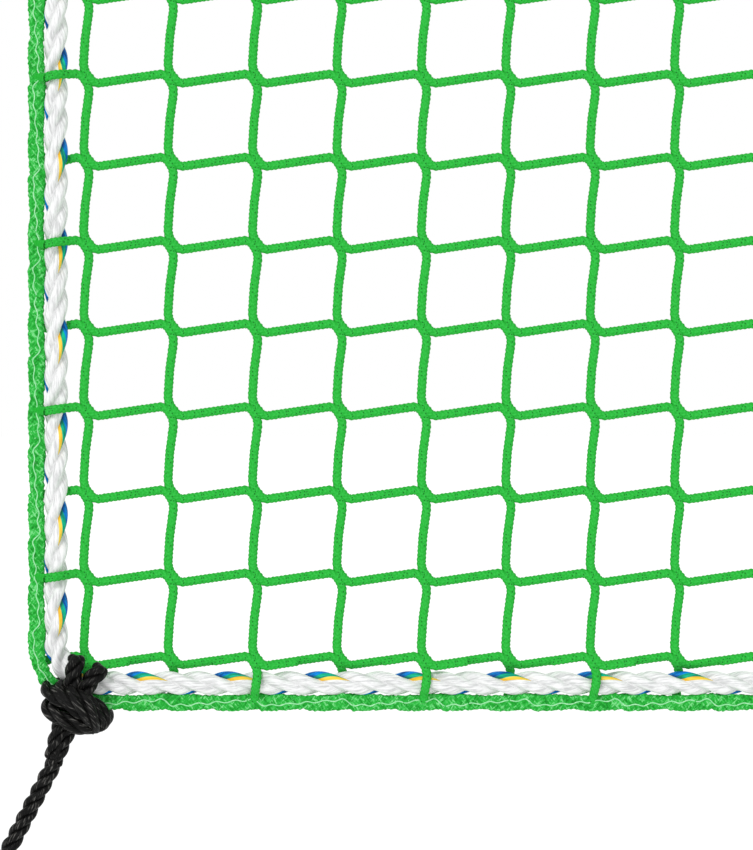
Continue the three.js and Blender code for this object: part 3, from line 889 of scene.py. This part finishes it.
def add_thread(shape, line, start, front, step, around):
    """The sewing thread on one face of the band: it crosses slowly and jumps back, in small zigzags."""
    line = resample(line, 0.8)
    along = arc_lengths(line)
    side, up = sides_along(line)
    repeats = (start + along) / BAND_REPEAT
    zigzag = THREAD_ZIGZAG * np.cos(TAU * THREAD_ZIGZAGS * (repeats - 0.08))
    across = THREAD_WANDER * (0.5 - saw(repeats)) - zigzag
    across = across - THREAD_UNEVEN * wobble(start + along, 6.1)
    across = np.convolve(np.pad(across, 2, mode="edge"), np.ones(5) / 5, "valid")
    lift = front * (BAND_HALF_THICKNESS * 0.97 + 0.2 * wobble(start + along, 7.0))
    path = line + across[:, None] * up + lift[:, None] * side
    add_round_cord(shape, path, THREAD_RADIUS, step, around, flat=0.7)


def make_selvedge(material, thread):
    line = border_line(BAND_CENTRE, BAND_TOP, BAND_CORNER_CENTRE)
    for number, (low, high, detailed) in enumerate(border_runs(line), 1):
        part = cut_line(line, low, high)
        step, around = (0.75, 28) if detailed else (3.0, 12)
        shape = Shape()
        add_band(shape, part, low, step, around, detailed)
        piece = shape.make(f"selvedge_run_{number}", material)
        if detailed:
            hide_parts("selvedge_left", "selvedge_bottom", "selvedge_right")
        step, around = (1.0, 8) if detailed else (4.0, 4)
        shape = Shape()
        for front in (1, -1):
            add_thread(shape, part, low, front, step, around)
        shape.make(f"selvedge_thread_run_{number}", thread)


# ---------- corner tie

# The knot's turns as they lie on its front, its back turns, its two short ends, its neck and the cut
# end beside it
FRONT_TURNS = [
    [[27, 5, 10], [20, 10.5, 11], [13.2, 13.4, 6.5], [10.7, 12.6, 0],
     [12.4, 11.2, -7], [18, 8.2, -11.8], [25, 4.4, -13.6], [31, 0.2, -12.6], [36, -5, -9]],
    [[26, -3, 9], [18, 2.2, 10], [12.4, 3.6, 5.5], [11.2, 2.8, 0],
     [12.6, 1.2, -6.5], [17.5, -1.6, -10.4], [23.5, -5.0, -11.4], [29.5, -7.4, -10], [35, -7.6, -7]],
    [[22, 14, 4], [18.4, 13.4, -2], [18.4, 12.4, -8.4], [22.4, 10.2, -14], [27.4, 6.6, -17],
     [32.2, 1.8, -16.8], [36, -3.2, -13.4], [37.6, -7, -8]],
    [[23, 14, -5], [25.2, 11.9, -12.2], [29.2, 8.8, -15.6], [33.6, 4.6, -16], [37, -0.4, -13.6],
     [38.6, -4.6, -9], [36.4, -7.4, -3]],
    [[25, 11, -4], [29.5, 10.0, -8.5], [34.0, 6.6, -11], [38.6, 2.6, -10.6], [40.9, -1.8, -8.4],
     [40.4, -5.4, -6.6], [36.8, -7.4, -6.4], [31, -7.0, -7.4], [25, -5.6, -7]],
]
BACK_TURNS = [
    [[14, 12, 5], [18, 13.4, 9.6], [24, 11, 13], [30, 7, 13.6], [35.6, 2, 11.6], [38.6, -4, 7.6],
     [36, -7.2, 1]],
    [[14, 7, 6], [19, 7.6, 10.4], [26, 4, 13.2], [32, -1, 12.4], [36, -5.8, 8.6], [37, -7.4, 2]],
    [[13, 1, 5], [18, -0.4, 9.4], [25, -3.6, 11.2], [31, -6.6, 9.6], [36, -7.6, 5]],
    [[26, 12, 3], [33, 8, 8.6], [38.6, 3, 8.2], [41, -2, 4.8], [40, -6, 1.4], [35, -7.6, 2]],
    [[20, -6, -3], [19.4, -7, 2], [22, -5.4, 7.6], [27, -2.4, 10]],
]
SHORT_ENDS = [
    [[27, 28.6, -11.5], [26.2, 23.6, -11.5], [24.9, 18, -11], [24.6, 12, -10.4]],
    [[39.6, 23.4, -11.5], [36.4, 19.4, -12], [33.0, 15, -11.4], [30.6, 9, -10.6]],
]
NECK = [[24, -3, 0], [22.2, -8, 0], [13.87, -27.25, 0]]
SECOND_END = [[20, -2, -2.8], [17, -8, -2.6], [15.4, -13.7, -2.4], [14.0, -19, -2.2],
              [13.3, -23.2, -2.0]]


def make_tail(side, name, material):
    """The tie's free cord, from the knot down to its spliced loop."""
    body = f"{name}_tie"
    points = corner_points(side, [*NECK, TAIL_PIVOT, TAIL_END])
    line = smooth_line(points, 0.4)
    shape = Shape()
    add_laid_rope(shape, line, TAIL_DIAMETER, TIE_LAY, 40, 13)
    tail = shape.make(f"tie_cord_{name}", material, None)
    pivot, end = points[-2], points[-1]
    along = (end - pivot) / np.linalg.norm(end - pivot)
    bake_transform(tail)
    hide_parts(f"tie_tail_{name}")
    loop = make_loop(end, along, name, body, material)


def make_loop(end, along, name, body, material):
    """The eye at the tail's end: the cord goes round and is spliced back into itself."""
    across = np.array([along[2], 0, -along[0]])
    reach = [(-4, 1.0), (8, 1.8), (17, 4.0), (25, 10.5), (33, 13.6), (41, 11.0), (48.2, 4.5), (50.0, 0)]
    ring = [*reach, *[(a, -b) for a, b in reach[-2::-1]]]
    line = smooth_line([end + a * along + b * across for a, b in ring], 0.4)
    shape = Shape()
    add_laid_rope(shape, line, TAIL_DIAMETER, TIE_LAY, 32, 11)
    splice = np.stack([end + a * along for a in (-3.0, 4.0, 12.0, 21.0)])

    def size(place):
        return 0.72 + 0.5 * ease(place / 14)

    add_laid_rope(shape, splice, SPLICE_DIAMETER, SPLICE_LAY, 40, 13, size=size)
    piece = shape.make(f"tie_eye_{name}", material, body)
    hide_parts(f"tie_loop_{name}")
    return piece


def make_knot(side, name, material):
    shape = Shape()
    for number, points in enumerate([*FRONT_TURNS, *BACK_TURNS]):
        line = corner_line(side, points, 0.3)
        add_laid_rope(shape, line, KNOT_DIAMETER, KNOT_LAY, 76, 13, phase=0.13 * number)
    ends = [(points, SHORT_END_DIAMETER) for points in SHORT_ENDS]
    for points, diameter in [*ends, (SECOND_END, SECOND_END_DIAMETER)]:
        add_laid_rope(shape, corner_line(side, points, 0.3), diameter, TIE_LAY, 44, 15, domes=True)
    knot = shape.make(f"corner_knot_{name}", material)
    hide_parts(f"tie_knot_{name}")


# ---------- headband and fittings

def headband_side(x, z):
    """How far the canvas stands from the net's middle plane."""
    fall = ease((-z - 4) / 44)
    return 4.7 - 0.9 * fall + 0.35 * fall * wobble(x, 410.0) + 0.2 * wobble(x + 3 * z, 150.0, 2.0)


def patch_side(x, z):
    """The same for an end patch, which is stiff and lies flat under its eyelet."""
    return 6.65 - 0.5 * ease((-z - 38) / 17) + 0.06 * wobble(x + 2 * z, 31.0)


def face_out(side, face, flat):
    """The cloth's y at (x, z) places on one face; the back's unevenness is taken from farther along."""
    return face * side(flat[..., 0] + (FACE_OFFSET if face > 0 else 0), flat[..., 1])


def add_folded(shape, stations, heights, side, thickness):
    """Cloth folded over the cable: its outer and inner faces at each station, and its two end faces."""
    arc = np.radians([-70, -55, -38, -20, 0, 20, 38, 55, 70])
    rows = []
    for x in stations:
        crown = side(x, heights[-1])
        front = [(-side(x, z), z) for z in heights]
        top = [(crown * math.sin(a), heights[-1] + (TOP - heights[-1]) * math.cos(a)) for a in arc]
        back = [(side(x + FACE_OFFSET, z), z) for z in heights[::-1]]
        outer = np.array([*front, *top, *back])
        inner = outer[::-1].copy()
        inner[:, 0] -= thickness * np.sign(inner[:, 0]) * np.minimum(1, np.abs(inner[:, 0]) / 3)
        inner[:, 1] -= np.where(inner[:, 1] > heights[-1], thickness, 0)
        loop = np.vstack([outer, inner])
        rows.append(np.column_stack([np.full(len(loop), x), loop]))
    points = np.array(rows)
    count, around = points.shape[:2]
    k = np.arange(around // 2 - 1)
    first = np.stack([k, k + 1, around - 2 - k, around - 1 - k], -1)
    last = first[:, ::-1] + (count - 1) * around
    shape.add(points, np.vstack([ring_quads(count, around)[:, ::-1], first, last]))


def make_headband(canvas, vinyl, thread):
    shape = Shape()
    stations = np.linspace(HEADBAND_LEFT, HEADBAND_RIGHT, 700)
    heights = np.array([HEADBAND_FOOT, -50.0, -44.0, -37.0, -30.0, -22.0, -14.0, -8.0, -4.0])
    add_folded(shape, stations, heights, headband_side, CANVAS_THICKNESS)
    band = shape.make("headband_canvas", canvas)
    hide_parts("headband")
    start, stop = HEADBAND_LEFT + PATCH_LENGTH, HEADBAND_RIGHT - PATCH_LENGTH
    for face, name in ((-1, "front"), (1, "back")):
        shape = Shape()
        for z in STITCH_ROWS:
            add_stitches(shape, (start, z), (stop, z), face, headband_side)
        shape.make(f"headband_stitches_{name}", thread)
    for name in ("left", "right"):
        make_patch(name, vinyl, thread)


def make_patch(name, vinyl, thread):
    """An end patch: a saddle over the cable and a panel with a round hole on each face."""
    low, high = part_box(f"headband_end_{name}")
    x0, x1, foot = low.x / MM, high.x / MM, low.z / MM
    eyelet_low, eyelet_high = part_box(f"eyelet_{name}")
    hole = np.array([(eyelet_low.x + eyelet_high.x) / 2, (eyelet_low.z + eyelet_high.z) / 2]) / MM
    shape = Shape()
    saddle = np.array([PATCH_SEAM, -8.0, -4.0])
    add_folded(shape, np.linspace(x0, x1, 15), saddle, patch_side, VINYL_THICKNESS)
    # the panel as rings from the hole's edge out to its four sides
    corners = np.array([(x0, foot), (x1, foot), (x1, PATCH_SEAM), (x0, PATCH_SEAM), (x0, foot)])
    edge = resample(np.column_stack([corners, np.zeros(5)]), 3.0)[:-1, :2]
    spoke = edge - hole
    inner = hole + PATCH_HOLE * spoke / np.linalg.norm(spoke, axis=1, keepdims=True)
    share = np.linspace(0, 1, 10)[:, None, None]
    flat = inner + (edge - inner) * share
    for face in (-1, 1):
        outer = face_out(patch_side, face, flat)
        loops = [np.stack([flat[..., 0], outer, flat[..., 1]], -1),
                 np.stack([flat[..., 0], outer - face * VINYL_THICKNESS, flat[..., 1]], -1)[::-1]]
        points = np.vstack([*loops, loops[0][:1]])
        quads = ring_quads(len(points), points.shape[1])
        shape.add(points, quads if face > 0 else quads[:, ::-1])
    patch = shape.make(f"headband_patch_{name}", vinyl)
    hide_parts(f"headband_end_{name}")
    shape = Shape()
    near, far, sole, rim = x0 + STITCH_INSET, x1 - STITCH_INSET, foot + STITCH_INSET, STITCH_ROWS[0]
    for face in (-1, 1):
        for start, stop in (((near, rim), (far, rim)), ((near, sole), (far, sole)),
                            ((near, sole), (near, rim)), ((far, sole), (far, rim))):
            add_stitches(shape, start, stop, face, patch_side)
    shape.make(f"patch_stitches_{name}", thread)


def add_stitches(shape, start, stop, face, side):
    """A row of stitches on one face, from one (x, z) place to another."""
    start, stop = np.array(start, float), np.array(stop, float)
    length = np.linalg.norm(stop - start)
    way = (stop - start) / length
    places = np.arange(STITCH_PITCH / 2, length - STITCH_PITCH / 2, STITCH_PITCH)
    lengthwise = np.array([-2.3, -1.1, 1.1, 2.3])
    lift = np.array([-0.3, 0.25, 0.25, -0.3])
    fat = 0.42 * np.array([0.5, 1.0, 1.0, 0.5])
    flat = start + (places[:, None] + lengthwise)[..., None] * way
    outer = face_out(side, face, flat) + face * lift
    centre = np.stack([flat[..., 0], outer, flat[..., 1]], -1)[:, :, None]
    across = np.array([way[1], 0, -way[0]])
    spokes = np.array([(0, -1, 0), across, (0, 1, 0), -across])
    points = centre + fat[:, None, None] * spokes
    faces = ring_quads(4, 4)[None] + 16 * np.arange(len(places))[:, None, None]
    shape.add(points, faces.reshape(-1, 4))


def dress_fittings():
    """Better surfaces for the hard parts, which keep their CAD shapes."""
    brass = plain_material("eyelet_brass", (0.55, 0.37, 0.11), (0.40, 0.26, 0.08), 0.32, 200, 1.0)
    coating = plain_material("cable_coating", (0.010, 0.013, 0.012), (0.02, 0.024, 0.022), 0.38, 150)
    aluminium = plain_material("ferrule_aluminium", (0.60, 0.61, 0.62), (0.46, 0.47, 0.48), 0.36, 180, 1.0)
    steel = plain_material("thimble_steel", (0.52, 0.54, 0.56), (0.38, 0.39, 0.41), 0.3, 160, 1.0)
    names = {"steel_cable": coating}
    for end in ("left", "right"):
        names[f"eyelet_{end}"] = brass
        names[f"cable_eye_{end}"] = coating
        names[f"ferrule_{end}"] = aluminium
        names[f"thimble_{end}"] = steel
    for name, material in names.items():
        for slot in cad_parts[name].material_slots:
            slot.material = material


# ---------- camera, light and floor

def make_camera():
    data = bpy.data.cameras.new("camera")
    data.lens = LENS
    data.sensor_fit = "HORIZONTAL"
    data.sensor_width = SENSOR
    data.clip_end = 300
    camera = bpy.data.objects.new("camera", data)
    bpy.context.collection.objects.link(camera)
    distance = VIEW_WIDTH * LENS / SENSOR
    place = Vector((LEFT + VIEW_CENTRE[0], -distance, BOTTOM + VIEW_CENTRE[1]))
    camera.location = place * MM
    camera.rotation_euler = (math.pi / 2, 0, 0)
    bpy.context.scene.camera = camera


def make_light():
    """A soft studio: an even surround, a key from the front and above, and a white background."""
    world = bpy.data.worlds.new("studio")
    world.use_nodes = True
    tree = world.node_tree
    path = tree.nodes.new("ShaderNodeLightPath")
    strength = tree.nodes.new("ShaderNodeMapRange")
    strength.inputs["To Min"].default_value = SURROUND
    strength.inputs["To Max"].default_value = 1.0
    background = tree.nodes["Background"]
    background.inputs["Color"].default_value = (1, 1, 1, 1)
    tree.links.new(path.outputs["Is Camera Ray"], strength.inputs["Value"])
    tree.links.new(strength.outputs["Result"], background.inputs["Strength"])
    bpy.context.scene.world = world
    for name, energy, angle, direction in (("key", 1.15, 14, (0.30, 0.72, -0.62)),
                                           ("back", 0.55, 25, (-0.25, -0.75, -0.6))):
        data = bpy.data.lights.new(name, "SUN")
        data.energy = energy
        data.angle = math.radians(angle)
        sun = bpy.data.objects.new(name, data)
        sun.rotation_euler = Vector(direction).to_track_quat("-Z", "Y").to_euler()
        bpy.context.collection.objects.link(sun)
    bpy.context.scene.view_settings.view_transform = "Standard"


def make_floor():
    """A white floor with a glow of its own, which stays white beside the lit background."""
    reach, z = 60000.0, FLOOR - 2.0
    corners = [(-reach, -reach, z), (reach, -reach, z), (reach, reach, z), (-reach, reach, z)]
    shape = Shape()
    shape.add(np.array(corners), np.array([[0, 1, 2, 3]]))
    n = Nodes("floor")
    material = n.finish((0.45, 0.45, 0.45), 0.9, specular=0.0)
    n.fill(n.shader, {"Emission Color": (1.0, 1.0, 1.0), "Emission Strength": 0.62})
    shape.make("floor", material, None)


make_camera()
GREEN = netting_material()
BAND = selvedge_material()
WHITE = border_rope_material()
BLACK = tie_cord_material()
THREAD = plain_material("sewing_thread", (0.27, 0.74, 0.34), (0.52, 0.88, 0.56), 0.6, 400, specular=0.2)
LIGHT_THREAD = plain_material("white_thread", (0.62, 0.61, 0.58), (0.74, 0.73, 0.70), 0.6, 400,
                              specular=0.2)

for corner_side, corner_name in ((-1, "left"), (1, "right")):
    make_tail(corner_side, corner_name, BLACK)
    make_knot(corner_side, corner_name, BLACK)
make_netting(GREEN)
make_border_rope(WHITE)
make_selvedge(BAND, THREAD)
make_headband(canvas_material(), vinyl_material(), LIGHT_THREAD)
dress_fittings()
make_light()
make_floor()
